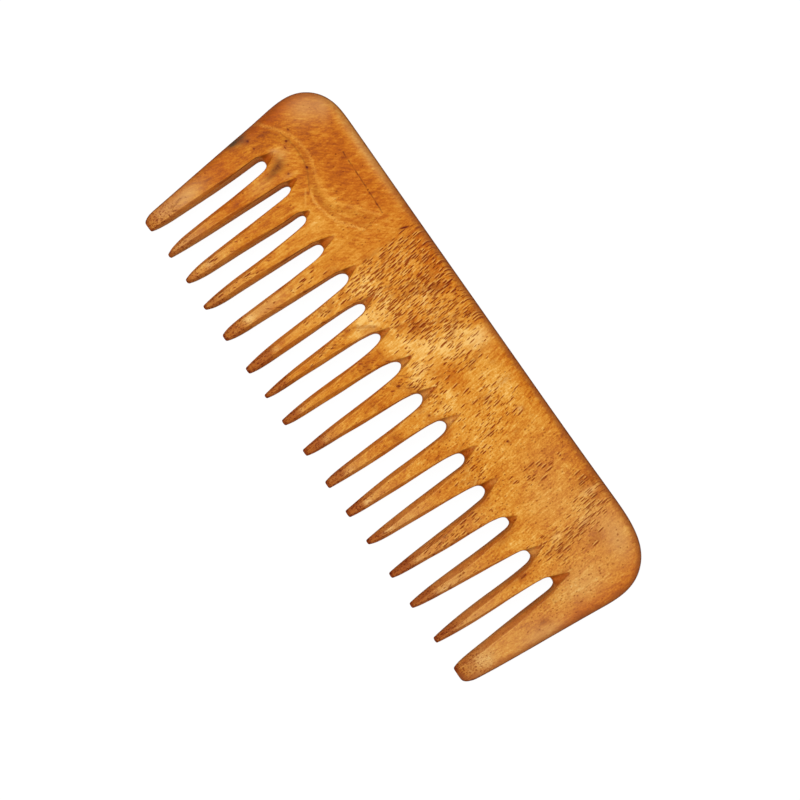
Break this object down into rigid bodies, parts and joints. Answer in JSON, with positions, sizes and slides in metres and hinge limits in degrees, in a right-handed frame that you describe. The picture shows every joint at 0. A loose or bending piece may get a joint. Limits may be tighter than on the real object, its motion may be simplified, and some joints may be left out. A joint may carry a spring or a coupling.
{
  "type": "wide tooth comb",
  "caption": "One-piece wooden wide tooth hair comb with a straight rounded spine, tapered hand-filed teeth and rounded root gaps.",
  "frame": {"origin": "middle of the flat back face, at the centre of the comb's length and depth", "axes": "+X along the comb, +Y towards the spine with the teeth towards -Y, +Z out of the front face; the back face lies on z = 0"},
  "size_m": [0.19, 0.073, 0.009],
  "materials": {
    "oiled_wood": "hand-filed golden brown hardwood with dark open pores, oiled to a satin sheen"
  },
  "bodies": {
    "root": {"comb": "oiled_wood"}
  },
  "joints": []
}
